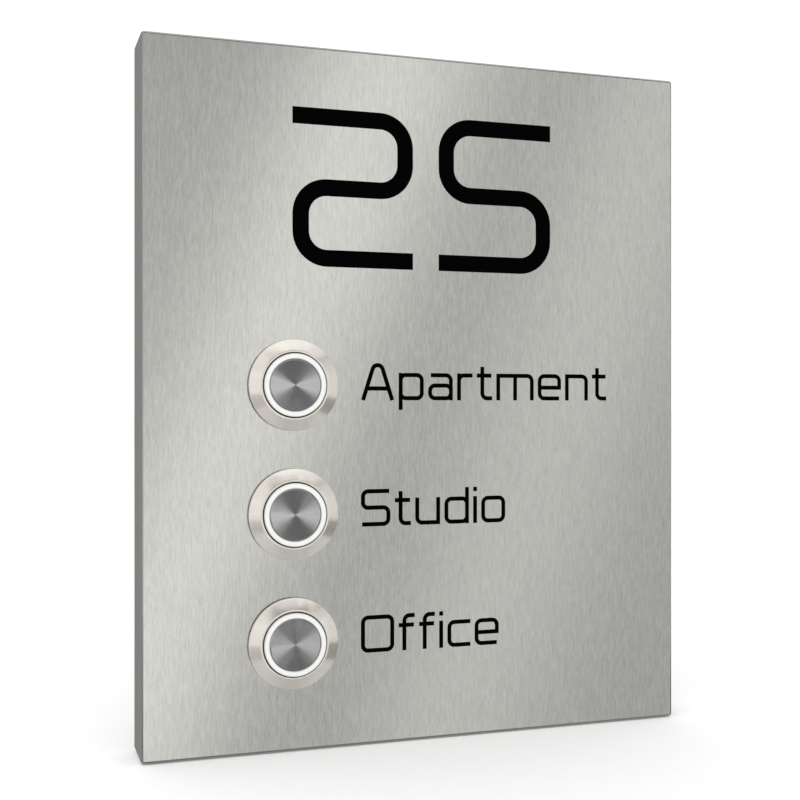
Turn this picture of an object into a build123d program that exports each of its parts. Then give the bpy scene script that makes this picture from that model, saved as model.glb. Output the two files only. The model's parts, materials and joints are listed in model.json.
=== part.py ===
"""Door intercom panel: a folded cover of brushed steel that hooks over a wall frame, with a house number,
three name lines and three ring-lit push buttons. Every separate physical piece is its own solid.

Frame: origin at the centre of the wall-side face, +X to the right and +Z up as a caller sees the panel,
and the front faces -Y. All sizes are in millimetres.
"""

import os
from math import cos, pi, radians, sin

from build123d import *

os.makedirs("parts", exist_ok=True)

# ---------------------------------------------------------------- panel
PANEL_W = 140.0
PANEL_H = 170.0
PANEL_DEPTH = 14.0          # wall to the cover's front face
COVER_T = 2.0               # the cover's sheet, in its face and in its four folded sides
COVER_CORNER_R = 0.8        # the welded corners between the sides
COVER_EDGE_R = 0.6          # outside of the folds
COVER_WALL_GAP = 0.5        # the sides stop this far from the wall

FRAME_GAP = 0.5             # between the cover's sides and the frame inside them
RIM_T = 2.5
FRAME_CORNER_R = 0.8
FLANGE_T = 2.0
FLANGE_SIDE = 12.0          # width of the wall flange at the sides and the bottom
FLANGE_TOP = 24.0           # wider at the top, where it carries the hanging rail
COVER_GASKET_T = 0.5
WALL_GASKET_T = 1.0
GASKET_MARGIN = 0.4         # the wall gasket stands back from the frame's edges

WALL_HOLE_R = 2.25
WALL_HOLE_INSET = 7.5       # from the frame's edges to the wall screws

# ---------------------------------------------------------------- hanging rail, hooks, lugs and locking screws
SHEET_T = 1.2               # the rail's and the hooks' sheet
RAIL_L = 90.0
RAIL_FOOT_H = 7.2
RAIL_FOOT_START = 0.8       # from the flange's inner edge up to the rail's foot
RAIL_LIP_H = 6.4
RAIL_STEP = 1.7             # clear space between the rail's foot and its lip
RIVET_R = 1.6
RIVET_HEAD_R = 2.6
RIVET_HEAD_H = 0.8
RIVET_PITCH = 36.0
HOOK_W = 16.0
HOOK_X = 30.0
HOOK_OVERLAP = 4.8          # how far the swung-out cover is lifted to come off the rail
HOOK_PLAY = 0.1
HOOK_FOOT_H = 11.0

LUG_X = 30.0
LUG_W = 12.0
LUG_H = 6.0
LUG_DEPTH = 6.5
LUG_CHAMFER = 0.6
LOCK_Y = -7.5               # depth of the screws' axes
LOCK_SCREW_R = 1.5
LOCK_SCREW_L = 9.0
LOCK_SCREW_PLAY = 0.05
LOCK_HOLE_R = 1.7
LOCK_HEAD_R = 2.8
LOCK_SOCKET_AF = 2.0
LOCK_SOCKET_DEPTH = 1.2

# ---------------------------------------------------------------- lettering
POCKET_DEPTH = 0.3
INFILL_SINK = 0.05          # the black infill's surface under the cover's face
TEXT_LEFT = -16.9           # the name lines' left edge, from the panel's middle
TEXT_DROP = 3.6             # from a button's axis down to its line's baseline
LETTER_STROKE = 1.05
LETTER_GAP = 1.15
NUMBER_LEFT = -34.1
NUMBER_TOP_MARGIN = 14.8    # from the panel's top edge to the number
NUMBER_STROKE = 4.1
NUMBER_GAP = 6.8
NUMBER_W = 30.7
NUMBER_H = 38.4

# ---------------------------------------------------------------- push buttons
BUTTON_X = -34.0
BUTTON_TOP_DROP = 82.0      # from the panel's top edge to the top button
BUTTON_PITCH = 31.0
TRAVEL = 1.6

BARREL_R = 9.45             # outside of the M19 thread
BARREL_L = 18.0             # from the cover's front face to the barrel's rear end
BARREL_WALL = 1.6           # round the light ring, at the front
COVER_HOLE_GAP = 0.1
BEZEL_FLANGE = 1.55         # how far the flange reaches past the barrel
BEZEL_STAND = 2.5           # how far the bezel stands in front of the cover
BEZEL_EDGE_H = 0.8
BEZEL_LAND = 0.45
BEZEL_SHOULDER = 0.8        # depth of the step that holds the light ring in
SEAL_T = 0.5
SEAL_MARGIN = 0.4

RING_GAP = 0.25             # round the light ring, in the bezel's front bore
RING_WALL = 1.3
RING_STAND = 3.0
RING_WEB_T = 1.5
RING_COLLAR_T = 1.3
RING_COLLAR_PLAY = 0.1      # free play of the collar under its shoulder
COLLAR_STEP = 0.25          # how far the collar reaches past the bezel's front bore
COLLAR_GAP = 0.2            # round the collar, in the bezel's rear bore

CAP_GAP = 0.05
CAP_T = 1.8
CAP_EDGE = 0.25
CAP_DISH = 0.12
STEM_R = 3.0
STEM_PLAY = 0.1
STEM_PROUD = 0.3            # how far the stem reaches into the contact chamber at rest
CLIP_T = 0.5
CLIP_DEPTH = 0.45
CLIP_REACH = 0.6
CLIP_MOUTH = 70.0           # degrees left open in the clip

SPRING_WIRE_R = 0.3
SPRING_GAP = 0.1            # between the spring's inside and the clip
SPRING_SPACE = 7.6          # from the light ring's web to the switch base
SPRING_TURNS = 5
SPRING_SEAT_GAP = 0.02

BASE_GAP = 0.05
BASE_COLLAR_T = 1.5
BASE_COLLAR_STEP = 0.15     # the nut passes over the collar
BASE_WALL = 1.3
BASE_BLOCK_L = 8.5
BASE_BLOCK_WALL = 0.8
BASE_CORNER_R = 1.0
BOARD_T = 0.8
BOARD_BORE_GAP = 0.4        # between the spring and the board
LED_SIZE = (1.6, 0.9, 0.6)
LED_COUNT = 8
BRIDGE_L = 8.6
BRIDGE_W = 2.2
BRIDGE_T = 0.4
BRIDGE_GAP = 0.6            # between the bridge's ends and the chamber's wall
BRIDGE_LAP = 0.9            # from the bridge's end to the middle of a contact blade
CONTACT_PLAY = 0.1          # what is left between bridge and contacts at full travel
CONTACT_STAND = 2.2         # how far the contact blades stand up in the chamber
BLADE_W = 2.0
BLADE_T = 0.5
BLADE_PROUD = 6.0
BLADE_HOLE_IN = 1.6
BLADE_HOLE_R = 0.55
LED_BLADE_OUT = 0.8         # from the chamber's wall to the lamp blades' middle
NUT_WALL = 2.05
NUT_T = 2.5
NUT_PLAY = 0.05
NUT_CHAMFER_SLOPE = 0.577   # the 30 degree turning of its corners

# ---------------------------------------------------------------- worked out from the values above
Y_FRONT = -PANEL_DEPTH
Y_FACE_BACK = Y_FRONT + COVER_T
Y_FRAME_FRONT = Y_FACE_BACK + COVER_GASKET_T
Y_FRAME_BACK = -WALL_GASKET_T
Y_FLANGE_FRONT = Y_FRAME_BACK - FLANGE_T
FRAME_W = PANEL_W - 2 * (COVER_T + FRAME_GAP)
FRAME_H = PANEL_H - 2 * (COVER_T + FRAME_GAP)
RIM_IN_X = FRAME_W / 2 - RIM_T
RIM_IN_Z = FRAME_H / 2 - RIM_T
OPEN_X = FRAME_W / 2 - FLANGE_SIDE
OPEN_BOTTOM = -FRAME_H / 2 + FLANGE_SIDE
OPEN_TOP = FRAME_H / 2 - FLANGE_TOP
WALL_HOLES = GridLocations(FRAME_W - 2 * WALL_HOLE_INSET, FRAME_H - 2 * WALL_HOLE_INSET, 2, 2)
RAIL_BOTTOM = OPEN_TOP + RAIL_FOOT_START
RAIL_WEB_Z = RAIL_BOTTOM + RAIL_FOOT_H
RAIL_TOP = RAIL_WEB_Z + RAIL_LIP_H
RAIL_FOOT_Y = Y_FLANGE_FRONT - SHEET_T
RAIL_LIP_BACK = RAIL_FOOT_Y - RAIL_STEP
RAIL_LIP_FRONT = RAIL_LIP_BACK - SHEET_T
RIVET_Z = RAIL_BOTTOM + (RAIL_FOOT_H - SHEET_T) / 2
RIVETS = [(-RIVET_PITCH, RIVET_Z), (0, RIVET_Z), (RIVET_PITCH, RIVET_Z)]
LOCK_PLACES = [(-LUG_X, LOCK_Y), (LUG_X, LOCK_Y)]
SIDES = {"left": -1, "right": 1}
NUMBER_BASE = PANEL_H / 2 - NUMBER_TOP_MARGIN - NUMBER_H
BUTTON_TOP_Z = PANEL_H / 2 - BUTTON_TOP_DROP
BUTTONS = {
    "top": BUTTON_TOP_Z,
    "middle": BUTTON_TOP_Z - BUTTON_PITCH,
    "bottom": BUTTON_TOP_Z - 2 * BUTTON_PITCH,
}

# a button's radii, from the outside in
BEZEL_R = BARREL_R + BEZEL_FLANGE
SEAL_R = BEZEL_R - SEAL_MARGIN
COVER_HOLE_R = BARREL_R + COVER_HOLE_GAP
BEZEL_BORE_R = BARREL_R - BARREL_WALL
COLLAR_R = BEZEL_BORE_R + COLLAR_STEP
BORE_REAR_R = COLLAR_R + COLLAR_GAP
RING_R = BEZEL_BORE_R - RING_GAP
RING_BORE_R = RING_R - RING_WALL
CAP_R = RING_BORE_R - CAP_GAP
GROOVE_R = STEM_R - CLIP_DEPTH
CLIP_R = STEM_R + CLIP_REACH
SPRING_R = CLIP_R + SPRING_GAP + SPRING_WIRE_R
BOARD_BORE_R = SPRING_R + SPRING_WIRE_R + BOARD_BORE_GAP
LED_CIRCLE_R = RING_BORE_R + RING_WALL / 2
BASE_R = BORE_REAR_R - BASE_GAP
BASE_COLLAR_R = BARREL_R - BASE_COLLAR_STEP
CHAMBER_R = BRIDGE_L / 2 + BRIDGE_GAP
CONTACT_X = BRIDGE_L / 2 - BRIDGE_LAP
LED_BLADE_Z = CHAMBER_R + LED_BLADE_OUT
BASE_BLOCK = 2 * (LED_BLADE_Z + BASE_BLOCK_WALL)
NUT_FLAT = BARREL_R + NUT_WALL

# a button's depths behind the cover's front face, from front to rear
CAP_FRONT = -RING_STAND
CAP_BACK = CAP_FRONT + CAP_T
WEB_BACK = CAP_BACK + RING_WEB_T
COLLAR_FRONT = BEZEL_SHOULDER + RING_COLLAR_PLAY
COLLAR_BACK = COLLAR_FRONT + RING_COLLAR_T
BASE_FRONT = WEB_BACK + SPRING_SPACE
BOARD_FRONT = BASE_FRONT - BOARD_T
CHAMBER_FRONT = BASE_FRONT + BASE_WALL
STEM_END = CHAMBER_FRONT + STEM_PROUD
BRIDGE_BACK = STEM_END + BRIDGE_T
CONTACT_FRONT = BRIDGE_BACK + TRAVEL + CONTACT_PLAY
CHAMBER_BACK = CONTACT_FRONT + CONTACT_STAND
COLLAR_END = BARREL_L + BASE_COLLAR_T
BASE_END = COLLAR_END + BASE_BLOCK_L
BLADE_END = BASE_END + BLADE_PROUD


def front_plane(y):
    """A sketch plane that faces the caller, at depth y: sketch x is +X and sketch y is +Z."""
    return Plane(origin=(0, y, 0), x_dir=(1, 0, 0), z_dir=(0, -1, 0))


def at_button(t, z):
    """The same kind of plane on a button's axis, t behind the cover's front face."""
    return Plane(origin=(BUTTON_X, Y_FRONT + t, z), x_dir=(1, 0, 0), z_dir=(0, -1, 0))


def save(piece, label):
    """Label a finished piece and write it to its own STEP file."""
    piece.part.label = label
    export_step(piece.part, f"parts/{label}.step")
    print(f"{label}: {piece.part.volume:.1f} mm3")


def turned(profile, z):
    """A piece turned on a button's axis from (radius, depth behind the front face) points."""
    with BuildPart() as piece:
        with BuildSketch(Plane((BUTTON_X, Y_FRONT, z))):
            with BuildLine():
                Polyline(*profile, close=True)
            make_face()
        revolve(axis=Axis((BUTTON_X, 0, z), (0, 1, 0)))
    return piece


# ---------------------------------------------------------------- lettering strokes
# Each character is (width, strokes); a stroke is (closed, points) along the middle of its line.
def lower_case(stroke, x_height=6.8, cap=9.15, drop=2.4, wide=6.6):
    """The squared, rounded alphabet of the name lines, in millimetres from each letter's lower left corner."""
    e = stroke / 2
    top, tall, r = x_height - e, cap - e, wide - e
    bowl = [(e, e), (r, e), (r, top), (e, top)]
    broad = 10.4
    narrow = 4.2
    return {
        "A": (8.6, [(False, [(e, 0), (3.3, tall), (5.3, tall), (8.6 - e, 0)]),
                    (False, [(1.4, 2.9), (7.2, 2.9)])]),
        "S": (7.6, [(False, [(7.3, tall), (e, tall), (e, 4.6), (7.6 - e, 4.6), (7.6 - e, e), (0.3, e)])]),
        "O": (8.6, [(True, [(e, e), (8.6 - e, e), (8.6 - e, tall), (e, tall)])]),
        "a": (wide, [(False, [(0.7, top), (r, top), (r, 0)]), (True, [(e, e), (r, e), (r, 3.7), (e, 3.7)])]),
        "c": (6.2, [(False, [(6.2, top), (e, top), (e, e), (6.2, e)])]),
        "d": (wide, [(True, bowl), (False, [(r, 0), (r, cap)])]),
        "e": (wide, [(False, [(r, e), (e, e), (e, top), (r, top), (r, 3.3 - e)]),
                     (False, [(e, 3.3), (r, 3.3)])]),
        "f": (narrow, [(False, [(1.5, 0), (1.5, tall), (narrow, tall)]), (False, [(0, top), (4.0, top)])]),
        "i": (stroke, [(False, [(e, 0), (e, x_height)]), (False, [(e, cap - 1.1), (e, cap)])]),
        "m": (broad, [(False, [(e, 0), (e, x_height)]), (False, [(e, top), (broad - e, top), (broad - e, 0)]),
                      (False, [(broad / 2, 0), (broad / 2, top)])]),
        "n": (wide, [(False, [(e, 0), (e, x_height)]), (False, [(e, top), (r, top), (r, 0)])]),
        "o": (wide, [(True, bowl)]),
        "p": (wide, [(True, bowl), (False, [(e, -drop), (e, x_height)])]),
        "r": (narrow, [(False, [(e, 0), (e, x_height)]), (False, [(e, 3.0), (e, top), (narrow, top)])]),
        "t": (narrow, [(False, [(1.5, 8.5), (1.5, e), (narrow, e)]), (False, [(0, top), (4.0, top)])]),
        "u": (wide, [(False, [(e, x_height), (e, e), (r, e)]), (False, [(r, 0), (r, x_height)])]),
    }


def digits(stroke, wide, high):
    """The two digits of the house number."""
    e = stroke / 2
    low, mid, top, right = e, high / 2, high - e, wide - e
    return {
        "2": (wide, [(False, [(0, top), (right, top), (right, mid), (e, mid), (e, low), (wide, low)])]),
        "5": (wide, [(False, [(wide, top), (e, top), (e, mid), (right, mid), (right, low), (0, low)])]),
    }


def lettering(text, alphabet, corner_xz, stroke, bend, gap, y, depth):
    """The strokes of a line of text as solids, from depth y towards the wall.

    corner_xz is the line's lower left corner, and bend the radius of the strokes' middle line at a corner.
    """
    with BuildPart() as letters:
        start, base = corner_xz
        for character in text:
            wide, strokes = alphabet[character]
            plane = Plane(origin=(start, y + depth, base), x_dir=(1, 0, 0), z_dir=(0, -1, 0))
            with BuildSketch(plane):
                for closed, points in strokes:
                    with BuildLine() as path:
                        if len(points) > 2:
                            FilletPolyline(*points, radius=bend, close=closed)
                        else:
                            Line(*points)
                    trace(path.edges(), line_width=stroke)
            extrude(amount=depth)
            start += wide + gap
    return letters


LINES = {"top": "Apartment", "middle": "Studio", "bottom": "Office"}
LETTER_BEND = 1.3
NUMBER_BEND = 6.5


def number_letters(y, depth):
    """The house number's strokes at the given depth."""
    alphabet = digits(NUMBER_STROKE, NUMBER_W, NUMBER_H)
    corner = (NUMBER_LEFT, NUMBER_BASE)
    return lettering("25", alphabet, corner, NUMBER_STROKE, NUMBER_BEND, NUMBER_GAP, y, depth)


def line_letters(place, y, depth):
    """One name line's strokes at the given depth."""
    corner = (TEXT_LEFT, BUTTONS[place] - TEXT_DROP)
    alphabet = lower_case(LETTER_STROKE)
    return lettering(LINES[place], alphabet, corner, LETTER_STROKE, LETTER_BEND, LETTER_GAP, y, depth)


# ---------------------------------------------------------------- folded front cover
number_pocket = number_letters(Y_FRONT, POCKET_DEPTH)
line_pockets = [line_letters(place, Y_FRONT, POCKET_DEPTH) for place in BUTTONS]

with BuildPart() as front_cover:
    with BuildSketch(front_plane(-COVER_WALL_GAP)):
        RectangleRounded(PANEL_W, PANEL_H, COVER_CORNER_R)
    extrude(amount=PANEL_DEPTH - COVER_WALL_GAP)
    fillet(front_cover.faces().sort_by(Axis.Y)[0].outer_wire().edges(), COVER_EDGE_R)
    with BuildSketch(front_plane(-COVER_WALL_GAP)):
        Rectangle(PANEL_W - 2 * COVER_T, PANEL_H - 2 * COVER_T)
    extrude(amount=PANEL_DEPTH - COVER_WALL_GAP - COVER_T, mode=Mode.SUBTRACT)
    with BuildSketch(front_plane(Y_FRONT)):
        with Locations(*[(BUTTON_X, z) for z in BUTTONS.values()]):
            Circle(COVER_HOLE_R)
    extrude(amount=-COVER_T, mode=Mode.SUBTRACT)
    for pocket in [number_pocket, *line_pockets]:
        add(pocket.part, mode=Mode.SUBTRACT)
    with Locations(Plane(origin=(0, 0, -PANEL_H / 2), x_dir=(1, 0, 0), z_dir=(0, 0, -1))):
        with Locations(*[(x, -y) for x, y in LOCK_PLACES]):
            CounterSinkHole(LOCK_HOLE_R, LOCK_HEAD_R + LOCK_SCREW_PLAY, depth=COVER_T)
save(front_cover, "front_cover")

infill_y = Y_FRONT + INFILL_SINK
infill_depth = POCKET_DEPTH - INFILL_SINK
save(number_letters(infill_y, infill_depth), "number_infill")
for place in BUTTONS:
    save(line_letters(place, infill_y, infill_depth), f"label_infill_{place}")

# ---------------------------------------------------------------- wall frame and its two gaskets


def frame_opening():
    """The wall opening inside the flange, for the current sketch."""
    with Locations((0, (OPEN_TOP + OPEN_BOTTOM) / 2)):
        Rectangle(2 * OPEN_X, OPEN_TOP - OPEN_BOTTOM, mode=Mode.SUBTRACT)


with BuildPart() as wall_frame:
    with BuildSketch(front_plane(Y_FRAME_BACK)):
        RectangleRounded(FRAME_W, FRAME_H, FRAME_CORNER_R)
        frame_opening()
        with WALL_HOLES:
            Circle(WALL_HOLE_R, mode=Mode.SUBTRACT)
    extrude(amount=FLANGE_T)
    with BuildSketch(front_plane(Y_FLANGE_FRONT)):
        RectangleRounded(FRAME_W, FRAME_H, FRAME_CORNER_R)
        Rectangle(2 * RIM_IN_X, 2 * RIM_IN_Z, mode=Mode.SUBTRACT)
    extrude(amount=Y_FLANGE_FRONT - Y_FRAME_FRONT)
    with BuildSketch(front_plane(Y_FRAME_BACK)):
        with Locations(*RIVETS):
            Circle(RIVET_R)
    extrude(amount=FLANGE_T, mode=Mode.SUBTRACT)
    with BuildSketch(Plane.XY.offset(-FRAME_H / 2)):
        with Locations(*LOCK_PLACES):
            Circle(LOCK_SCREW_R + LOCK_SCREW_PLAY)
    extrude(amount=RIM_T, mode=Mode.SUBTRACT)
save(wall_frame, "wall_frame")

with BuildPart() as wall_gasket:
    with BuildSketch(front_plane(0)):
        Rectangle(FRAME_W - 2 * GASKET_MARGIN, FRAME_H - 2 * GASKET_MARGIN)
        with Locations((0, (OPEN_TOP + OPEN_BOTTOM) / 2)):
            Rectangle(
                2 * (OPEN_X + GASKET_MARGIN),
                OPEN_TOP - OPEN_BOTTOM + 2 * GASKET_MARGIN,
                mode=Mode.SUBTRACT,
            )
        with WALL_HOLES:
            Circle(WALL_HOLE_R, mode=Mode.SUBTRACT)
    extrude(amount=WALL_GASKET_T)
save(wall_gasket, "wall_gasket")

with BuildPart() as cover_gasket:
    with BuildSketch(front_plane(Y_FRAME_FRONT)):
        Rectangle(FRAME_W - 2 * GASKET_MARGIN, FRAME_H - 2 * GASKET_MARGIN)
        Rectangle(2 * (RIM_IN_X + GASKET_MARGIN), 2 * (RIM_IN_Z + GASKET_MARGIN), mode=Mode.SUBTRACT)
    extrude(amount=COVER_GASKET_T)
save(cover_gasket, "cover_gasket")

# ---------------------------------------------------------------- hanging rail on the frame, hooks on the cover
with BuildPart() as hanging_rail:
    with BuildSketch(Plane.YZ.offset(-RAIL_L / 2)):
        with BuildLine():
            Polyline(
                (Y_FLANGE_FRONT, RAIL_BOTTOM),
                (Y_FLANGE_FRONT, RAIL_WEB_Z),
                (RAIL_LIP_BACK, RAIL_WEB_Z),
                (RAIL_LIP_BACK, RAIL_TOP),
                (RAIL_LIP_FRONT, RAIL_TOP),
                (RAIL_LIP_FRONT, RAIL_WEB_Z - SHEET_T),
                (RAIL_FOOT_Y, RAIL_WEB_Z - SHEET_T),
                (RAIL_FOOT_Y, RAIL_BOTTOM),
                close=True,
            )
        make_face()
    extrude(amount=RAIL_L)
    with BuildSketch(front_plane(Y_FLANGE_FRONT)):
        with Locations(*RIVETS):
            Circle(RIVET_R)
    extrude(amount=SHEET_T, mode=Mode.SUBTRACT)
save(hanging_rail, "hanging_rail")

with BuildPart() as rail_rivets:
    with BuildSketch(front_plane(Y_FRAME_BACK)):
        with Locations(*RIVETS):
            Circle(RIVET_R)
    extrude(amount=FLANGE_T + SHEET_T)
    with BuildSketch(front_plane(RAIL_FOOT_Y)):
        with Locations(*RIVETS):
            Circle(RIVET_HEAD_R)
    extrude(amount=RIVET_HEAD_H, taper=20)
save(rail_rivets, "rail_rivets")

HOOK_TONGUE_FRONT = RAIL_LIP_BACK + HOOK_PLAY
HOOK_TONGUE_BACK = HOOK_TONGUE_FRONT + SHEET_T
HOOK_FOOT_BACK = Y_FACE_BACK + SHEET_T
HOOK_BOTTOM = RAIL_TOP + SHEET_T - HOOK_FOOT_H
for side, sign in SIDES.items():
    with BuildPart() as cover_hook:
        with BuildSketch(Plane.YZ.offset(sign * HOOK_X - HOOK_W / 2)):
            with BuildLine():
                Polyline(
                    (Y_FACE_BACK, HOOK_BOTTOM),
                    (Y_FACE_BACK, RAIL_TOP + SHEET_T),
                    (HOOK_TONGUE_BACK, RAIL_TOP + SHEET_T),
                    (HOOK_TONGUE_BACK, RAIL_TOP - HOOK_OVERLAP),
                    (HOOK_TONGUE_FRONT, RAIL_TOP - HOOK_OVERLAP),
                    (HOOK_TONGUE_FRONT, RAIL_TOP),
                    (HOOK_FOOT_BACK, RAIL_TOP),
                    (HOOK_FOOT_BACK, HOOK_BOTTOM),
                    close=True,
                )
            make_face()
        extrude(amount=HOOK_W)
    save(cover_hook, f"cover_hook_{side}")

# ---------------------------------------------------------------- lugs on the frame and the two locking screws
for side, sign in SIDES.items():
    with BuildPart() as lock_lug:
        with BuildSketch(Plane.XY.offset(-RIM_IN_Z)):
            with Locations((sign * LUG_X, LOCK_Y)):
                Rectangle(LUG_W, LUG_DEPTH)
                Circle(LOCK_SCREW_R + LOCK_SCREW_PLAY, mode=Mode.SUBTRACT)
        extrude(amount=LUG_H)
        chamfer(lock_lug.faces().sort_by(Axis.Z)[-1].outer_wire().edges(), LUG_CHAMFER)
    save(lock_lug, f"lock_lug_{side}")

LOCK_HEAD_H = LOCK_HEAD_R - LOCK_SCREW_R
with BuildPart() as locking_screws:
    with BuildSketch(Plane.XY.offset(-PANEL_H / 2)):
        with Locations(*LOCK_PLACES):
            Circle(LOCK_SCREW_R)
    extrude(amount=LOCK_SCREW_L)
    with Locations(*[(x, y, -PANEL_H / 2 + LOCK_HEAD_H / 2) for x, y in LOCK_PLACES]):
        Cone(LOCK_HEAD_R, LOCK_SCREW_R, LOCK_HEAD_H)
    with BuildSketch(Plane.XY.offset(-PANEL_H / 2)):
        with Locations(*LOCK_PLACES):
            RegularPolygon(LOCK_SOCKET_AF / 2, 6, major_radius=False)
    extrude(amount=LOCK_SOCKET_DEPTH, mode=Mode.SUBTRACT)
save(locking_screws, "locking_screws")

# ---------------------------------------------------------------- push buttons

def push_cap(z):
    """Turned steel cap with a shallow dish, its stem, and the groove for the clip."""
    rim = CAP_R - CAP_EDGE
    with BuildPart() as cap:
        with BuildSketch(Plane((BUTTON_X, Y_FRONT, z))):
            with BuildLine():
                ThreePointArc(
                    (0, CAP_FRONT + CAP_DISH),
                    (rim / 2, CAP_FRONT + CAP_DISH * 0.75),
                    (rim, CAP_FRONT),
                )
                Polyline(
                    (rim, CAP_FRONT),
                    (CAP_R, CAP_FRONT + CAP_EDGE),
                    (CAP_R, CAP_BACK),
                    (STEM_R, CAP_BACK),
                    (STEM_R, WEB_BACK),
                    (GROOVE_R, WEB_BACK),
                    (GROOVE_R, WEB_BACK + CLIP_T),
                    (STEM_R, WEB_BACK + CLIP_T),
                    (STEM_R, STEM_END),
                    (0, STEM_END),
                    (0, CAP_FRONT + CAP_DISH),
                )
            make_face()
        revolve(axis=Axis((BUTTON_X, 0, z), (0, 1, 0)))
    return cap


def light_ring(z):
    """Clear diffuser round the cap; its collar holds cap and ring behind the bezel's shoulder."""
    stem_hole = STEM_R + CAP_GAP
    return turned(
        [
            (RING_BORE_R, CAP_FRONT),
            (RING_R, CAP_FRONT),
            (RING_R, COLLAR_FRONT),
            (COLLAR_R, COLLAR_FRONT),
            (COLLAR_R, COLLAR_BACK),
            (RING_BORE_R, COLLAR_BACK),
            (RING_BORE_R, WEB_BACK),
            (stem_hole, WEB_BACK),
            (stem_hole, CAP_BACK),
            (RING_BORE_R, CAP_BACK),
        ],
        z,
    )


def stem_clip(z):
    """Open spring clip in the stem's groove, behind the light ring's web."""
    half = radians(CLIP_MOUTH / 2)
    with BuildPart() as clip:
        with BuildSketch(at_button(WEB_BACK + CLIP_T, z)):
            Circle(CLIP_R)
            Circle(GROOVE_R, mode=Mode.SUBTRACT)
            with BuildLine():
                Polyline(
                    (0, 0),
                    (2 * CLIP_R * sin(half), -2 * CLIP_R * cos(half)),
                    (-2 * CLIP_R * sin(half), -2 * CLIP_R * cos(half)),
                    close=True,
                )
            make_face(mode=Mode.SUBTRACT)
        extrude(amount=CLIP_T)
    return clip


def contact_bridge(z):
    """The moving contact strip on the stem's end."""
    with BuildPart() as bridge:
        with BuildSketch(at_button(BRIDGE_BACK, z)):
            SlotOverall(BRIDGE_L, BRIDGE_W)
        extrude(amount=BRIDGE_T)
    return bridge


def bezel(z):
    """Coned front flange and the barrel that passes through the cover, in one turned piece."""
    return turned(
        [
            (BEZEL_BORE_R, -BEZEL_STAND),
            (BEZEL_BORE_R + BEZEL_LAND, -BEZEL_STAND),
            (BEZEL_R, -SEAL_T - BEZEL_EDGE_H),
            (BEZEL_R, -SEAL_T),
            (BARREL_R, -SEAL_T),
            (BARREL_R, BARREL_L),
            (BORE_REAR_R, BARREL_L),
            (BORE_REAR_R, BEZEL_SHOULDER),
            (BEZEL_BORE_R, BEZEL_SHOULDER),
        ],
        z,
    )


def front_seal(z):
    """Flat seal between the bezel's flange and the cover."""
    return turned([(COVER_HOLE_R, -SEAL_T), (SEAL_R, -SEAL_T), (SEAL_R, 0), (COVER_HOLE_R, 0)], z)


def hex_nut(z):
    """Hexagon nut that clamps the barrel from behind the cover, its corners turned off at 30 degrees."""
    corner = NUT_FLAT / cos(pi / 6)
    drop = (corner - NUT_FLAT) * NUT_CHAMFER_SLOPE
    cut = turned(
        [
            (0, COVER_T),
            (corner, COVER_T),
            (corner, COVER_T + NUT_T - drop),
            (NUT_FLAT, COVER_T + NUT_T),
            (0, COVER_T + NUT_T),
        ],
        z,
    )
    with BuildPart() as nut:
        with BuildSketch(at_button(COVER_T + NUT_T, z)):
            RegularPolygon(NUT_FLAT, 6, major_radius=False)
            Circle(BARREL_R + NUT_PLAY, mode=Mode.SUBTRACT)
        extrude(amount=NUT_T)
        add(cut.part, mode=Mode.INTERSECT)
    return nut


def return_spring(z):
    """Coil spring between the light ring's web and the switch base."""
    start = WEB_BACK + SPRING_WIRE_R + SPRING_SEAT_GAP
    height = BASE_FRONT - SPRING_WIRE_R - SPRING_SEAT_GAP - start
    with BuildPart() as spring:
        with BuildLine():
            coil = Helix(
                height / SPRING_TURNS,
                height,
                SPRING_R,
                center=(BUTTON_X, Y_FRONT + start, z),
                direction=(0, 1, 0),
            )
        with BuildSketch(Plane(origin=coil @ 0, z_dir=coil % 0)):
            Circle(SPRING_WIRE_R)
        sweep(path=coil, is_frenet=True)
    return spring


def blade(z, place, front, size):
    """A flat blade of a section size, at a place beside the button's axis, from depth front to its tip."""
    with BuildPart() as piece:
        with BuildSketch(at_button(BLADE_END, z)):
            with Locations(place):
                Rectangle(*size)
        extrude(amount=BLADE_END - front)
    return piece


def blades(z):
    """The two contact blades and the two lamp blades of a switch."""
    upright = (BLADE_T, BLADE_W)
    level = (BLADE_W, BLADE_T)
    return [
        blade(z, (-CONTACT_X, 0), CONTACT_FRONT, upright),
        blade(z, (CONTACT_X, 0), CONTACT_FRONT, upright),
        blade(z, (0, -LED_BLADE_Z), BASE_FRONT, level),
        blade(z, (0, LED_BLADE_Z), BASE_FRONT, level),
    ]


def switch_base(z):
    """Moulded base: a plug inside the barrel, a collar behind it, and a square block round the blades."""
    with BuildPart() as base:
        with BuildSketch(Plane((BUTTON_X, Y_FRONT, z))):
            with BuildLine():
                Polyline(
                    (STEM_R + STEM_PLAY, BASE_FRONT),
                    (BASE_R, BASE_FRONT),
                    (BASE_R, BARREL_L),
                    (BASE_COLLAR_R, BARREL_L),
                    (BASE_COLLAR_R, COLLAR_END),
                    (0, COLLAR_END),
                    (0, CHAMBER_BACK),
                    (CHAMBER_R, CHAMBER_BACK),
                    (CHAMBER_R, CHAMBER_FRONT),
                    (STEM_R + STEM_PLAY, CHAMBER_FRONT),
                    close=True,
                )
            make_face()
        revolve(axis=Axis((BUTTON_X, 0, z), (0, 1, 0)))
        with BuildSketch(at_button(BASE_END, z)):
            RectangleRounded(BASE_BLOCK, BASE_BLOCK, BASE_CORNER_R)
        extrude(amount=BASE_BLOCK_L)
        for piece in blades(z):
            add(piece.part, mode=Mode.SUBTRACT)
    return base


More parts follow.
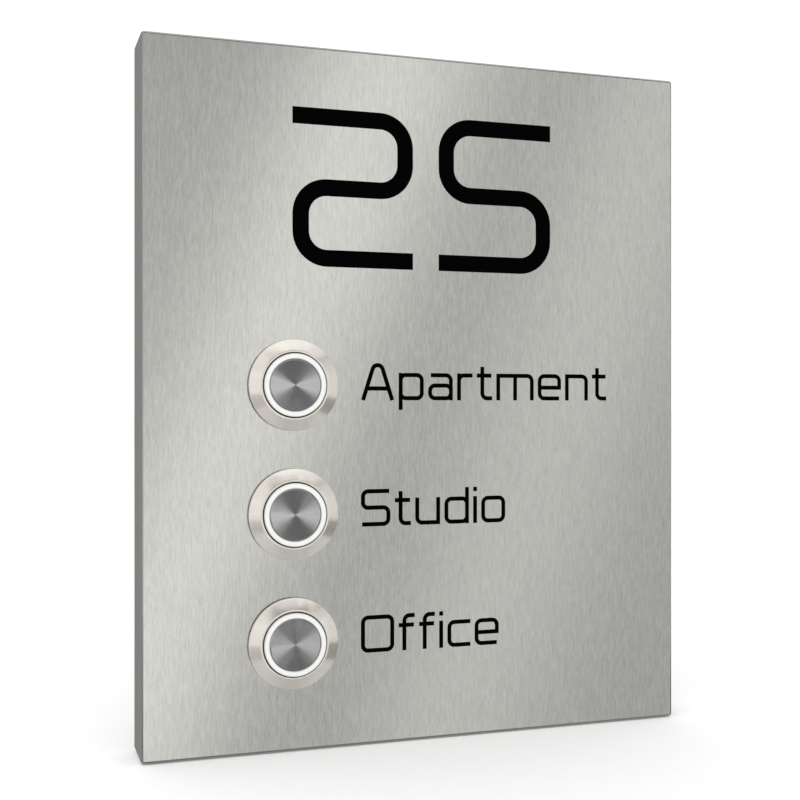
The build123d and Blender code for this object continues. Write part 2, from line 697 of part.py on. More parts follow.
def terminals(z):
    """The four blades as one group, with the wire hole near each tip."""
    with BuildPart() as group:
        for piece in blades(z):
            add(piece.part)
        with BuildSketch(Plane.YZ.offset(BUTTON_X - CONTACT_X - BLADE_T)):
            with Locations((Y_FRONT + BLADE_END - BLADE_HOLE_IN, z)):
                Circle(BLADE_HOLE_R)
        extrude(amount=2 * CONTACT_X + 2 * BLADE_T, mode=Mode.SUBTRACT)
        with BuildSketch(Plane.XY.offset(z - LED_BLADE_Z - BLADE_T)):
            with Locations((BUTTON_X, Y_FRONT + BLADE_END - BLADE_HOLE_IN)):
                Circle(BLADE_HOLE_R)
        extrude(amount=2 * LED_BLADE_Z + 2 * BLADE_T, mode=Mode.SUBTRACT)
    return group


def led_board(z):
    """Ring circuit board on the base's front."""
    return turned(
        [
            (BOARD_BORE_R, BOARD_FRONT),
            (BASE_R, BOARD_FRONT),
            (BASE_R, BASE_FRONT),
            (BOARD_BORE_R, BASE_FRONT),
        ],
        z,
    )


def leds(z):
    """The lamps on the board, shining forward into the light ring's skirt."""
    length, width, height = LED_SIZE
    with BuildPart() as lamps:
        with BuildSketch(at_button(BOARD_FRONT, z)):
            with PolarLocations(LED_CIRCLE_R, LED_COUNT):
                Rectangle(width, length)
        extrude(amount=height)
    return lamps


PIECES = {
    "push_cap": push_cap,
    "light_ring": light_ring,
    "stem_clip": stem_clip,
    "contact_bridge": contact_bridge,
    "bezel": bezel,
    "front_seal": front_seal,
    "hex_nut": hex_nut,
    "return_spring": return_spring,
    "switch_base": switch_base,
    "terminals": terminals,
    "led_board": led_board,
    "leds": leds,
}
for place, button_z in BUTTONS.items():
    for name, make in PIECES.items():
        save(make(button_z), f"{name}_{place}")
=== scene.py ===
"""Door call panel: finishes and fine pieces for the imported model, laid out as a Blender add-on."""

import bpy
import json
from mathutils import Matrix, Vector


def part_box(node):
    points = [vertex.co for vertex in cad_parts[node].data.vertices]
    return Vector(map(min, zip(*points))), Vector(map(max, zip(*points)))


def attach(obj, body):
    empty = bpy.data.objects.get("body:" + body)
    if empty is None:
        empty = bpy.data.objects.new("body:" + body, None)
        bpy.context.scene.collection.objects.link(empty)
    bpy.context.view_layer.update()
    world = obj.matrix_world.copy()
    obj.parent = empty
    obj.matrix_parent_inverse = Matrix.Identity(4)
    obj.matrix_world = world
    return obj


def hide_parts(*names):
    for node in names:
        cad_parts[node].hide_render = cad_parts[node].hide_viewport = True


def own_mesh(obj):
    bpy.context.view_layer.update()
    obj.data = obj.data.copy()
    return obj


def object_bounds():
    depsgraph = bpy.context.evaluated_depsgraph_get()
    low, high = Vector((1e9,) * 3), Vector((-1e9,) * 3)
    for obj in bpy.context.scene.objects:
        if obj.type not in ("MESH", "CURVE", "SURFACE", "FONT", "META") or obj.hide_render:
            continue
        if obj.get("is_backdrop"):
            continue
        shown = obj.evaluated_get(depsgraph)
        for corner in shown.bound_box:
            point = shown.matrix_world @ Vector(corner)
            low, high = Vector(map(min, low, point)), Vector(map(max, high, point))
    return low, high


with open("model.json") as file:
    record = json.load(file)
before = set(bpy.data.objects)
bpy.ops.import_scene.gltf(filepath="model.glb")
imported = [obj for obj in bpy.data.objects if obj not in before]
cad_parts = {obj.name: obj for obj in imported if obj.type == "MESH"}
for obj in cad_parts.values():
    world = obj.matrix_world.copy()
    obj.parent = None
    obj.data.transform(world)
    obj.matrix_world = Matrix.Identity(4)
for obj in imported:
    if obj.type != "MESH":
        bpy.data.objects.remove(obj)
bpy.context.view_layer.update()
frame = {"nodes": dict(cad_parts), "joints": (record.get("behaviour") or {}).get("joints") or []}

import json
import math

import bmesh
import bpy
import numpy as np
from bpy.props import FloatProperty, FloatVectorProperty, IntProperty, PointerProperty
from mathutils import Vector

bl_info = {
    "name": "Door call panel",
    "version": (1, 0, 0),
    "blender": (4, 5, 0),
    "location": "3D View > Sidebar > Call panel",
    "description": "Finishes a brushed steel door call panel and sets up its studio stage",
    "category": "Object",
}

MM = 0.001
NODES = frame["nodes"]
ROOT = "panel"
PLACES = ("top", "middle", "bottom")
SHEET = 2.0 * MM             # the cover's sheet
FOLD = 0.6 * MM              # outside radius of the cover's folds
STEM_R = 3.0 * MM            # a cap's stem
WIRE_R = 0.3 * MM            # the return springs' wire
BORE_TO_RIM = 3.15 * MM      # from a bezel's bore out to its rim
BARREL_TO_RIM = 1.55 * MM    # from a bezel's barrel out to its rim
RING_WIDTH = 1.3 * MM        # the light ring's lit face, from its bore to its outside
FIT = 0.05 * MM              # clearance between a cap and its light ring


# ---------------------------------------------------------------- what a user would change
class PanelSizes(bpy.types.PropertyGroup):
    """Sizes of the fine pieces, in metres."""

    groove_pitch: FloatProperty(
        name="Groove pitch", description="Spacing of the turned rings on a cap", default=0.2 * MM, subtype="DISTANCE"
    )
    groove_slope: FloatProperty(
        name="Groove slope", description="Slope of a turned ring's sides", default=0.30
    )
    thread_pitch: FloatProperty(
        name="Thread pitch", description="Pitch of the barrels' thread", default=1.0 * MM, subtype="DISTANCE"
    )
    thread_depth: FloatProperty(
        name="Thread depth", description="Depth of the barrels' thread", default=0.52 * MM, subtype="DISTANCE"
    )
    edge_round: FloatProperty(
        name="Edge rounding", description="Rounding of turned edges", default=0.16 * MM, subtype="DISTANCE"
    )
    weld_radius: FloatProperty(
        name="Weld radius", description="Radius of the bead in the cover's corners", default=0.85 * MM,
        subtype="DISTANCE"
    )
    turns: IntProperty(name="Spring turns", description="Turns of each return spring", default=6)
    segments: IntProperty(name="Segments", description="Steps round a turned piece", default=128)


class PanelColours(bpy.types.PropertyGroup):
    """Base colours, linear."""

    steel: FloatVectorProperty(
        name="Steel", description="Brushed cover", default=(0.60, 0.597, 0.572), subtype="COLOR"
    )
    cap: FloatVectorProperty(name="Caps", description="Turned caps", default=(0.565, 0.563, 0.585), subtype="COLOR")
    bezel: FloatVectorProperty(
        name="Bezels", description="Turned bezels", default=(0.80, 0.76, 0.70), subtype="COLOR"
    )
    glow: FloatVectorProperty(
        name="Ring light", description="Lit diffuser", default=(1.0, 0.995, 0.97), subtype="COLOR"
    )
    ink: FloatVectorProperty(
        name="Lettering", description="Filled lettering", default=(0.0004, 0.0004, 0.0004), subtype="COLOR"
    )
    # The caps' painted reflection: the upper and lower quarters of each cap go half way to this dark colour.
    cap_painted_reflection: FloatVectorProperty(
        name="Caps' quarters", description="Upper and lower quarters of the turned caps",
        default=(0.146, 0.147, 0.138), subtype="COLOR"
    )


class StageSettings(bpy.types.PropertyGroup):
    """Camera."""

    turn: FloatProperty(
        name="Turn", description="Camera's turn round the panel", default=math.radians(-18.5), subtype="ANGLE"
    )
    distance: FloatProperty(
        name="Distance", description="Camera to the cover's face", default=0.302, subtype="DISTANCE"
    )
    aside: FloatProperty(
        name="Aside", description="Where the view's axis meets the face, from its middle", default=-0.0068,
        subtype="DISTANCE"
    )
    height: FloatProperty(
        name="Height", description="Camera's height over the panel's middle", default=-0.0017, subtype="DISTANCE"
    )
    lens: FloatProperty(name="Lens", description="Focal length in millimetres", default=54.86)
    rise: FloatProperty(name="Rise", description="Upward shift of the view", default=0.0059)


# ---------------------------------------------------------------- surfaces
def surface(name, points):
    """A closed mesh object from a grid of points, points[i, j] = (x, y, z), with j running round.

    Column j + 1 follows column j and the last joins the first; row i + 1 follows row i. Rows that shrink to one
    point make a pole, and rows that meet again close the tube, once the doubles are merged.
    """
    rows, columns = points.shape[:2]
    index = np.arange(rows * columns).reshape(rows, columns)
    around = np.roll(index, -1, axis=1)
    quads = np.stack([index[:-1], around[:-1], around[1:], index[1:]], axis=-1).reshape(-1, 4)
    mesh = bpy.data.meshes.new(name)
    mesh.from_pydata(points.reshape(-1, 3).tolist(), [], quads.tolist())
    solid = bmesh.new()
    solid.from_mesh(mesh)
    bmesh.ops.remove_doubles(solid, verts=solid.verts, dist=1e-7)
    bmesh.ops.recalc_face_normals(solid, faces=solid.faces)
    solid.to_mesh(mesh)
    solid.free()
    mesh.shade_smooth()
    piece = bpy.data.objects.new(name, mesh)
    bpy.context.scene.collection.objects.link(piece)
    return piece


def turned(name, profile, centre, segments, swell=None):
    """A surface of revolution about a line along Y through centre.

    A profile point (r, y) at angle a goes to (cx + r sin a, y, cz + r cos a). swell(r, y, a) is added to r.
    """
    angle = np.linspace(0, 2 * np.pi, segments, endpoint=False)[None, :]
    r, y = profile[:, 0][:, None], profile[:, 1][:, None]
    radius = r + (swell(r, y, angle) if swell else 0) + 0 * angle
    grid = np.stack(
        [centre[0] + radius * np.sin(angle), y + 0 * radius, centre[1] + radius * np.cos(angle)], axis=-1
    )
    return surface(name, grid)


def rounded(points, radius, steps=5, closed=False):
    """A profile whose corners are rounded: each corner p becomes a quadratic curve from p + d(a - p) to p + d(b - p).

    a and b are its neighbours, and d is the rounding over the shorter side, at most 0.45.
    """
    p = np.array(points, float)
    before, after = np.roll(p, 1, axis=0), np.roll(p, -1, axis=0)
    back, ahead = before - p, after - p
    reach = np.minimum(np.linalg.norm(back, axis=1), np.linalg.norm(ahead, axis=1))
    cut = np.minimum(radius, 0.45 * reach)[:, None]
    start = p + back / np.linalg.norm(back, axis=1)[:, None] * cut
    end = p + ahead / np.linalg.norm(ahead, axis=1)[:, None] * cut
    s = np.linspace(0, 1, steps)[None, :, None]
    curve = (1 - s) ** 2 * start[:, None] + 2 * s * (1 - s) * p[:, None] + s**2 * end[:, None]
    if closed:
        curve = curve.reshape(-1, 2)
        return np.vstack([curve, curve[:1]])
    middle = curve[1:-1].reshape(-1, 2)
    return np.vstack([p[:1], middle, p[-1:]])


def tube(name, path, radius, around=16):
    """A round tube along a path of points: circle of the given radius across the path's direction, shut at both ends.

    radius may vary along the path.
    """
    radius = np.broadcast_to(np.asarray(radius, float), (len(path),))
    ahead = np.gradient(path, axis=0)
    ahead /= np.linalg.norm(ahead, axis=1)[:, None]
    helper = np.where(np.abs(ahead[:, 1:2]) < 0.9, [[0.0, 1.0, 0.0]], [[1.0, 0.0, 0.0]])
    side = np.cross(ahead, helper)
    side /= np.linalg.norm(side, axis=1)[:, None]
    up = np.cross(side, ahead)
    angle = np.linspace(0, 2 * np.pi, around, endpoint=False)[None, :, None]
    ring = np.cos(angle) * side[:, None] + np.sin(angle) * up[:, None]
    grid = path[:, None] + ring * radius[:, None, None]
    caps = [np.repeat(path[:1, None], around, axis=1), grid, np.repeat(path[-1:, None], around, axis=1)]
    return surface(name, np.concatenate(caps))


def dress(piece, material, body=None, replaced=()):
    """Give a piece its material, and a new piece its body, hiding the nodes it stands for."""
    piece.data.materials.clear()
    piece.data.materials.append(material)
    if body:
        if replaced:
            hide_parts(*replaced)
        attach(piece, body)


# ---------------------------------------------------------------- shader maths
class Value:
    """A number socket that can be used in Python expressions."""

    def __init__(self, recipe, socket):
        self.recipe = recipe
        self.socket = socket

    def math(self, operation, *others):
        inputs = dict(enumerate([self, *others]))
        node = self.recipe.add("ShaderNodeMath", {"operation": operation}, inputs)
        return Value(self.recipe, node.outputs[0])

    def __add__(self, other):
        return self.math("ADD", other)

    def __sub__(self, other):
        return self.math("SUBTRACT", other)

    def __mul__(self, other):
        return self.math("MULTIPLY", other)

    def __truediv__(self, other):
        return self.math("DIVIDE", other)

    def __rsub__(self, other):
        return (self * -1.0) + other

    def __rtruediv__(self, other):
        return self.math("POWER", -1.0) * other

    __radd__ = __add__
    __rmul__ = __mul__

    def absolute(self):
        return self.math("ABSOLUTE")

    def step(self, low, high):
        """0 below low, 1 above high, smooth between."""
        node = self.recipe.add(
            "ShaderNodeMapRange", {"interpolation_type": "SMOOTHSTEP"},
            {"Value": self, "From Min": low, "From Max": high},
        )
        return Value(self.recipe, node.outputs["Result"])

    def between(self, low, high, soft):
        """1 from low to high, falling smoothly to 0 over soft on either side."""
        return self.step(low - soft, low) * (1.0 - self.step(high, high + soft))


class Nodes:
    """A node tree: one method adds any node, the others are short forms used by many finishes."""

    def __init__(self, tree):
        self.tree = tree

    def place(self, output):
        """The coordinates of a kind, whole and as three Values."""
        self.point = self.add("ShaderNodeTexCoord").outputs[output]
        axes = self.add("ShaderNodeSeparateXYZ", inputs={"Vector": self.point})
        self.x, self.y, self.z = (Value(self, axes.outputs[i]) for i in range(3))

    def feed(self, socket, value):
        if isinstance(value, Value):
            self.tree.links.new(value.socket, socket)
        elif isinstance(value, bpy.types.NodeSocket):
            self.tree.links.new(value, socket)
        elif hasattr(value, "__len__") and len(value) == 3 and socket.type == "RGBA":
            socket.default_value = (*value, 1.0)
        else:
            socket.default_value = value

    def add(self, kind, settings=None, inputs=None):
        """A node of a kind, its settings made first, then the values or links of its sockets."""
        node = self.tree.nodes.new(kind)
        for key, value in (settings or {}).items():
            setattr(node, key, value)
        for key, value in (inputs or {}).items():
            self.feed(node.inputs[key], value)
        return node

    def scaled(self, *scale):
        """The coordinates times a scale for each axis; a scale may be a number or a Value."""
        parts = [axis * times for axis, times in zip((self.x, self.y, self.z), scale)]
        return self.add("ShaderNodeCombineXYZ", inputs=dict(enumerate(parts))).outputs[0]

    def noise(self, vector, scale=1.0, detail=3.0, roughness=0.55):
        """Fractal noise about 0.5."""
        node = self.add(
            "ShaderNodeTexNoise", {"noise_dimensions": "3D"},
            {"Vector": vector, "Scale": scale, "Detail": detail, "Roughness": roughness},
        )
        return Value(self, node.outputs["Fac"])

    def cells(self, vector, scale):
        """Voronoi cells: each cell's own random number."""
        node = self.add("ShaderNodeTexVoronoi", inputs={"Vector": vector, "Scale": scale})
        parts = self.add("ShaderNodeSeparateColor", inputs={"Color": node.outputs["Color"]})
        return Value(self, parts.outputs[0])

    def tint(self, amount, low, high):
        """A colour between two, by amount."""
        node = self.add("ShaderNodeMix", {"data_type": "RGBA"}, {0: amount, 6: low, 7: high})
        return node.outputs[2]


class Recipe(Nodes):
    """A material on object coordinates; constants go straight onto the shader's own sockets."""

    def __init__(self, name, **constants):
        self.material = bpy.data.materials.new(name)
        self.material.use_nodes = True
        super().__init__(self.material.node_tree)
        self.shader = next(n for n in self.tree.nodes if n.type == "BSDF_PRINCIPLED")
        for key, value in constants.items():
            self.feed(self.shader.inputs[key.replace("_", " ")], value)
        self.place("Object")

    def finish(self, colour, roughness, height, strength=0.2, depth=0.0001):
        """Link what changes over the surface to the shader."""
        self.feed(self.shader.inputs["Base Color"], colour)
        self.feed(self.shader.inputs["Roughness"], roughness)
        bump = self.add("ShaderNodeBump", inputs={"Height": height, "Strength": strength, "Distance": depth})
        self.feed(self.shader.inputs["Normal"], bump.outputs["Normal"])
        return self.material


def shade(colour, factor):
    """A colour made lighter or darker by a factor."""
    return tuple(min(1.0, c * factor) for c in colour)


# ---------------------------------------------------------------- finishes
def brushed_cover(colours):
    """Stainless sheet with a vertical grain: short thin streaks in tone, roughness and height.

    On the top and bottom faces the grain runs from front to back. Along the folds a painted shade makes the edges
    darker than the faces.
    """
    lo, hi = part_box("front_cover")
    steel = Recipe("Brushed cover", Metallic=1.0, Anisotropic=0.35)
    facing = steel.add("ShaderNodeNewGeometry").outputs["Normal"]
    upward = Value(steel, steel.add("ShaderNodeSeparateXYZ", inputs={"Vector": facing}).outputs[2]).absolute()
    across = 2600.0 - 2200.0 * upward.step(0.5, 0.9)
    fine = steel.noise(steel.scaled(2600.0, across, 400.0), detail=3.0, roughness=0.65)
    streak = steel.noise(steel.scaled(1000.0, across * 0.38, 150.0), detail=2.0)
    cloud = steel.noise(steel.scaled(30.0, 30.0, 12.0), detail=2.0)
    scratch = steel.noise(steel.scaled(5200.0, 5200.0, 220.0), detail=1.0).step(0.66, 0.74)
    inward_x, inward_z = hi.x - steel.x.absolute(), hi.z - steel.z.absolute()
    # Lighter within 1.3 mm of the cover's outer edges.
    lighter_edge_band = 1.0 - inward_x.step(0.0, 1.3 * MM) * inward_z.step(0.0, 1.3 * MM)
    # Painted shade along the folds: the mask below is 1 on the front folds round the cover's edge and 0 on its faces.
    near, far = FOLD / 2, FOLD + 0.1 * MM
    painted_fold_shade = (1.0 - (steel.y - lo.y).step(near, far)) * (1.0 - inward_x.step(near, far) * inward_z.step(near, far))
    tone = (fine - 0.5) * 1.7 + (streak - 0.5) * 0.4 + (cloud - 0.5) * 0.2 + 0.5 + lighter_edge_band * 0.08 - scratch * 0.12
    colour = steel.tint(tone, shade(colours.steel, 0.84), shade(colours.steel, 1.16))
    # Painted shade: the folds go towards a dark steel.
    colour = steel.tint(painted_fold_shade * 0.8, colour, shade(colours.steel, 0.45))
    roughness = 0.125 + (fine - 0.5) * 0.06 + (cloud - 0.5) * 0.03
    return steel.finish(colour, roughness, fine + streak * 0.5 - scratch * 0.4, strength=0.15, depth=0.00002)


def filled_ink(colours):
    """Matt black filling of the engraving, slightly uneven where it has dried."""
    ink = Recipe("Lettering ink", Specular_IOR_Level=0.02)
    uneven = ink.noise(ink.scaled(900.0, 900.0, 900.0), detail=3.0)
    colour = ink.tint(uneven, shade(colours.ink, 0.6), shade(colours.ink, 1.5))
    return ink.finish(colour, 0.5 + uneven * 0.25, uneven, strength=0.15, depth=0.00003)


def folded_aluminium():
    """Mill-finished frame sheet: faint rolling lines, handling marks and a dull oxide."""
    sheet = Recipe("Frame sheet", Metallic=1.0, Anisotropic=0.2)
    rolled = sheet.noise(sheet.scaled(60.0, 900.0, 1500.0), detail=3.0)
    dull = sheet.noise(sheet.scaled(45.0, 45.0, 45.0), detail=4.0)
    marks = sheet.noise(sheet.scaled(1500.0, 700.0, 90.0), detail=1.0).step(0.68, 0.76)
    colour = sheet.tint(dull * 0.7 + rolled * 0.3, (0.30, 0.30, 0.305), (0.52, 0.52, 0.52))
    return sheet.finish(colour, 0.34 + dull * 0.22 - marks * 0.1, rolled + marks, strength=0.2, depth=0.00004)


def cell_rubber():
    """Closed-cell rubber: fine open cells on the cut faces and a little grey dust."""
    rubber = Recipe("Gasket rubber", Specular_IOR_Level=0.3)
    cell = rubber.cells(rubber.point, 3000.0)
    dust = rubber.noise(rubber.scaled(700.0, 700.0, 700.0), detail=3.0) * 0.6 + cell * 0.4
    colour = rubber.tint(dust.step(0.25, 0.8), (0.008, 0.008, 0.009), (0.05, 0.05, 0.048))
    return rubber.finish(colour, 0.7 + cell * 0.2, cell, strength=0.5, depth=0.00006)


def zinc_plate():
    """Zinc-plated sheet with a bluish passivation that drifts to pale yellow."""
    zinc = Recipe("Zinc plate", Metallic=1.0)
    drift = zinc.noise(zinc.scaled(90.0, 90.0, 90.0), detail=3.0)
    grain = zinc.noise(zinc.scaled(2600.0, 2600.0, 2600.0), detail=2.0)
    colour = zinc.tint(drift.step(0.35, 0.7), (0.50, 0.54, 0.60), (0.64, 0.61, 0.50))
    return zinc.finish(colour, 0.24 + grain * 0.2, grain, strength=0.25, depth=0.00003)


def drawn_metal(name, dark, light, rough, turned_by=None):
    """Bright small hardware: fine drawing or turning lines and a soft stain."""
    metal = Recipe(name, Metallic=1.0)
    stain = metal.noise(metal.scaled(420.0, 420.0, 420.0), detail=3.0)
    lines = metal.noise(metal.scaled(*(turned_by or (5200.0, 300.0, 5200.0))), detail=2.0)
    colour = metal.tint(stain * 0.6 + lines * 0.4, dark, light)
    return metal.finish(colour, rough + (lines - 0.5) * 0.14 + (stain - 0.5) * 0.1, lines, strength=0.2, depth=0.00002)


def axis_distance(recipe, centre):
    """Distance from a line along Y through centre (x, z)."""
    aside = recipe.x - centre[0]
    up = recipe.z - centre[1]
    return (aside * aside + up * up).math("SQRT")


def turned_steel(name, centre, base, rough, pitch, metallic=1.0, bore=0.0, quarters=None):
    """Lathe-turned face: noise on the distance from the axis draws fine circles, noise on the direction draws rays of
    painted reflection.

    quarters is the colour that the upper and lower quarters of the face go half way to, a painted reflection of the
    dark sectors a turned face mirrors, and bore paints shade on the wall inside that radius.
    """
    steel = Recipe(name, Metallic=metallic)
    radius = axis_distance(steel, centre)
    ring = steel.add("ShaderNodeCombineXYZ", inputs={0: radius / pitch}).outputs[0]
    circles = steel.noise(ring, scale=1.0, detail=4.0, roughness=0.75)
    stain = steel.noise(steel.scaled(500.0, 500.0, 500.0), detail=3.0)
    inverse = 1.0 / (radius + 0.00001)
    # Painted reflection: noise on the direction round the axis draws rays in the tone, for the streaks a turned face
    # mirrors.
    around = steel.add(
        "ShaderNodeCombineXYZ", inputs={0: (steel.x - centre[0]) * inverse, 2: (steel.z - centre[1]) * inverse}
    ).outputs[0]
    painted_ray_sheen = steel.noise(around, scale=4.5, detail=3.0)
    tone = (circles - 0.5) * 0.9 + (stain - 0.5) * 0.25 + (painted_ray_sheen - 0.5) * 0.5 + 0.5
    colour = steel.tint(tone, shade(base, 0.80), shade(base, 1.15))
    # Painted reflection: the upper and lower quarters of the face go half way to a dark colour, for the dark sectors a
    # turned face mirrors.
    if quarters:
        painted_reflection_mask = ((steel.z - centre[1]) * inverse).absolute().step(0.30, 0.78)
        colour = steel.tint(painted_reflection_mask * 0.5, colour, quarters)
    # Painted shade: inside the bore the wall goes darker, for the shade in the gap round the light ring.
    if bore:
        colour = steel.tint(radius.step(bore + 0.02 * MM, bore + 0.12 * MM), shade(base, 0.52), colour)
    roughness = rough + (circles - 0.5) * 0.1 + (stain - 0.5) * 0.08
    return steel.finish(colour, roughness, circles, strength=0.15, depth=0.00003)


def lit_diffuser(colours, centre, inner, outer, front):
    """Milky ring, brightest along the middle of its wall."""
    milk = Recipe("Lit diffuser", Coat_Weight=0.3, Coat_Roughness=0.1, Emission_Strength=0.62)
    radius = axis_distance(milk, centre)
    middle, half = (inner + outer) / 2, (outer - inner) / 2
    falloff = 1.0 - ((radius - middle) / half).absolute().step(0.35, 1.05)
    cloudy = milk.noise(milk.scaled(700.0, 700.0, 700.0), detail=2.0)
    light = (falloff * 0.5 + 0.36 + (cloudy - 0.5) * 0.1) * (1.0 - milk.y.step(front + 0.1 * MM, front + 0.35 * MM))
    glow = milk.tint(light, (0.0, 0.0, 0.0), colours.glow)
    milk.feed(milk.shader.inputs["Emission Color"], glow)
    colour = milk.tint(cloudy, (0.30, 0.30, 0.29), (0.36, 0.36, 0.35))
    return milk.finish(colour, 0.28 + cloudy * 0.1, cloudy, strength=0.05, depth=0.00002)


def moulded_black():
    """Glass-filled black moulding: fine spark-eroded texture with paler ridges that wear has rubbed."""
    plastic = Recipe("Moulded black", Specular_IOR_Level=0.45)
    spark = plastic.noise(plastic.scaled(3600.0, 3600.0, 3600.0), detail=3.0)
    flow = plastic.noise(plastic.scaled(260.0, 90.0, 260.0), detail=3.0)
    colour = plastic.tint((flow * 0.5 + spark * 0.5).step(0.3, 0.7), (0.010, 0.010, 0.011), (0.042, 0.042, 0.044))
    return plastic.finish(colour, 0.38 + spark * 0.2, spark, strength=0.35, depth=0.00004)


def tinned_brass():
    """Brass blades, tinned where the solder goes: tin towards the tips, brass at the root."""
    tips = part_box("terminals_top")[1].y
    blade = Recipe("Tinned brass", Metallic=1.0)
    wander = blade.noise(blade.scaled(900.0, 900.0, 900.0), detail=3.0)
    tinned = (blade.y + (wander - 0.5) * 0.003).step(tips - 5.2 * MM, tips - 4.4 * MM)
    grain = blade.noise(blade.scaled(4200.0, 320.0, 4200.0), detail=2.0)
    brass = blade.tint(grain, (0.66, 0.47, 0.20), (0.83, 0.64, 0.33))
    tin = blade.tint(grain, (0.58, 0.58, 0.56), (0.78, 0.78, 0.76))
    colour, roughness = blade.tint(tinned, brass, tin), 0.22 + grain * 0.14 + tinned * 0.08
    return blade.finish(colour, roughness, grain + wander, strength=0.2, depth=0.00003)


def lamp_board(centre):
    """White circuit board with a paler ring of track under the mask."""
    board = Recipe("Lamp board", Coat_Weight=0.5, Coat_Roughness=0.15)
    radius = axis_distance(board, centre)
    track = 1.0 - ((radius - 5.6 * MM) / (0.35 * MM)).absolute().step(0.8, 1.0)
    weave = board.noise(board.scaled(2400.0, 2400.0, 2400.0), detail=2.0)
    colour = board.tint(track * 0.6 + weave * 0.3, (0.72, 0.73, 0.70), (0.86, 0.84, 0.74))
    return board.finish(colour, 0.35 + weave * 0.15, track + weave * 0.2, strength=0.3, depth=0.00004)


def phosphor():
    """Lamp bodies: yellow phosphor that glows."""
    lamp = Recipe("Lamp phosphor", Emission_Strength=1.5)
    grain = lamp.noise(lamp.scaled(5200.0, 5200.0, 5200.0), detail=2.0)
    colour = lamp.tint(grain, (0.85, 0.72, 0.25), (0.95, 0.86, 0.45))
    lamp.feed(lamp.shader.inputs["Emission Color"], lamp.tint(grain, (0.8, 0.78, 0.6), (1.0, 0.97, 0.85)))
    return lamp.finish(colour, 0.3 + grain * 0.2, grain, strength=0.2, depth=0.00002)


# ---------------------------------------------------------------- measures from the frame
def button_axis(place):
    """(x, z) of a button's axis."""
    lo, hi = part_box(f"push_cap_{place}")
    return ((lo.x + hi.x) / 2, (lo.z + hi.z) / 2)


def radius_of(node):
    """Half of a turned node's width."""
    lo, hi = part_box(node)
    return (hi.x - lo.x) / 2


# ---------------------------------------------------------------- operators
class PanelStep:
    """What every operator shares: access to the sizes and the colours."""

    @property
    def sizes(self):
        return bpy.context.scene.call_panel_sizes

    @property
    def colours(self):
        return bpy.context.scene.call_panel_colours


class CALLPANEL_OT_cover(PanelStep, bpy.types.Operator):
    """Finish the folded cover and run weld beads down its inside corners"""

    bl_idname = "callpanel.cover"
    bl_label = "Cover"

    def execute(self, context):
        dress(NODES["front_cover"], brushed_cover(self.colours))
        weld = drawn_metal("Weld bead", (0.36, 0.33, 0.30), (0.62, 0.60, 0.57), 0.32, (900.0, 1500.0, 900.0))
        lo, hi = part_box("front_cover")
        # A bead runs straight down each inside corner, and its radius swells by up to a tenth at every ripple.
        run = np.linspace(lo.y + SHEET + FOLD, hi.y - 0.9 * MM, 90)
        ripple = self.sizes.weld_radius * (1 + 0.10 * np.abs(np.sin(run / (0.55 * MM))))
        for tall, z in (("upper", hi.z - SHEET), ("lower", lo.z + SHEET)):
            for side, x in (("left", lo.x + SHEET), ("right", hi.x - SHEET)):
                path = np.stack([0 * run + x, run, 0 * run + z], axis=1)
                bead = tube(f"weld_bead_{tall}_{side}", path, ripple, around=20)
                dress(bead, weld, ROOT)
        return {"FINISHED"}


class CALLPANEL_OT_lettering(PanelStep, bpy.types.Operator):
    """Fill the house number and the name lines"""

    bl_idname = "callpanel.lettering"
    bl_label = "Lettering"

    def execute(self, context):
        ink = filled_ink(self.colours)
        for node in ("number_infill", *(f"label_infill_{place}" for place in PLACES)):
            dress(NODES[node], ink)
        return {"FINISHED"}


class CALLPANEL_OT_mounting(PanelStep, bpy.types.Operator):
    """Finish the wall frame, gaskets, rail, hooks, lugs, rivets and locking screws"""

    bl_idname = "callpanel.mounting"
    bl_label = "Mounting parts"

    def execute(self, context):
        rubber, zinc = cell_rubber(), zinc_plate()
        finishes = {
            "wall_frame": folded_aluminium(),
            "wall_gasket": rubber,
            "cover_gasket": rubber,
            "hanging_rail": zinc,
            "cover_hook_left": zinc,
            "cover_hook_right": zinc,
            "lock_lug_left": zinc,
            "lock_lug_right": zinc,
            "rail_rivets": drawn_metal("Rivets", (0.55, 0.55, 0.56), (0.78, 0.78, 0.79), 0.28),
            "locking_screws": drawn_metal("Locking screws", (0.44, 0.44, 0.43), (0.66, 0.66, 0.64), 0.24),
        }
        for node, finish in finishes.items():
            dress(NODES[node], finish)
        return {"FINISHED"}


class CALLPANEL_OT_caps(PanelStep, bpy.types.Operator):
    """Turn the three dished caps with their fine rings"""

    bl_idname = "callpanel.caps"
    bl_label = "Push caps"

    def execute(self, context):
        pitch, slope = self.sizes.groove_pitch, self.sizes.groove_slope
        for place in PLACES:
            centre = button_axis(place)
            lo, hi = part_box(f"push_cap_{place}")
            outer = radius_of(f"push_cap_{place}")
            edge, skirt, dish = 0.25 * MM, 1.8 * MM, 0.12 * MM
            # The face's depth over the radius is a parabola, deepest in the middle, plus a triangle wave one groove
            # pitch long whose sides have the groove slope. The wave fades out at the middle and at the rim.
            rim = outer - edge
            r = np.arange(0.0, rim, pitch / 12)
            fade = np.clip(r / (0.1 * MM), 0, 1) * np.clip((rim - r) / (0.1 * MM), 0, 1)
            saw = np.arcsin(0.998 * np.sin(2 * np.pi * r / pitch)) / (np.pi / 2)
            y = lo.y + dish * (1 - (r / rim) ** 2) + fade * slope * pitch / 4 * (1 + saw)
            face = np.stack([r, y], axis=1)
            back = rounded(
                [(rim, lo.y), (outer, lo.y + edge), (outer, lo.y + skirt), (STEM_R, lo.y + skirt), (STEM_R, hi.y),
                 (0, hi.y)],
                0.1 * MM,
            )
            cap = turned(f"cap_{place}", np.vstack([face, back]), centre, self.sizes.segments)
            finish = turned_steel(
                f"Turned cap {place}", centre, self.colours.cap, rough=0.13, pitch=0.05 * MM,
                quarters=tuple(self.colours.cap_painted_reflection)
            )
            dress(cap, finish, f"{place}_button", [f"push_cap_{place}"])
        return {"FINISHED"}


